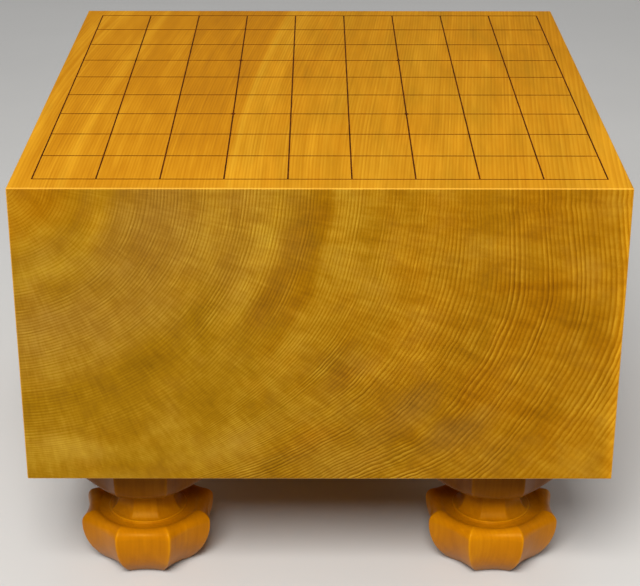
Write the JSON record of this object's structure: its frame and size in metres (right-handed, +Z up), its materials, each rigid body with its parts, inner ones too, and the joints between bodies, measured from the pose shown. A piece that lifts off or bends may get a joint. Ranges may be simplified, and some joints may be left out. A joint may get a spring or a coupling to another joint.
{
  "type": "shogi board",
  "caption": "Legged shogi board: a thick bevelled wooden block with a raised lacquer playing grid, standing on carved gardenia-fruit legs that pull out of the block.",
  "frame": {"origin": "on the floor under the middle of the block", "axes": "+Z up, +Y from the front end grain to the back, +X to the right seen from the front"},
  "size_m": [0.344, 0.377, 0.273],
  "materials": {
    "board_wood": "planed and waxed softwood, straight grain on top and growth rings on the end",
    "leg_wood": "carved and polished softwood, satin",
    "lacquer": "raised dark brown lacquer"
  },
  "bodies": {
    "block": {"board_block": "board_wood", "lacquer_lines": "lacquer", "star_points": "lacquer"},
    "front_left_leg": {"leg_front_left": "leg_wood"},
    "front_right_leg": {"leg_front_right": "leg_wood"},
    "back_left_leg": {"leg_back_left": "leg_wood"},
    "back_right_leg": {"leg_back_right": "leg_wood"}
  },
  "joints": [
    {"name": "front_left_pull", "type": "slide", "parent": "block", "child": "front_left_leg", "axis": [0, 0, -1], "range_m": [0, 0.04]},
    {"name": "front_right_pull", "type": "slide", "parent": "block", "child": "front_right_leg", "axis": [0, 0, -1], "range_m": [0, 0.04]},
    {"name": "back_left_pull", "type": "slide", "parent": "block", "child": "back_left_leg", "axis": [0, 0, -1], "range_m": [0, 0.04]},
    {"name": "back_right_pull", "type": "slide", "parent": "block", "child": "back_right_leg", "axis": [0, 0, -1], "range_m": [0, 0.04]}
  ]
}
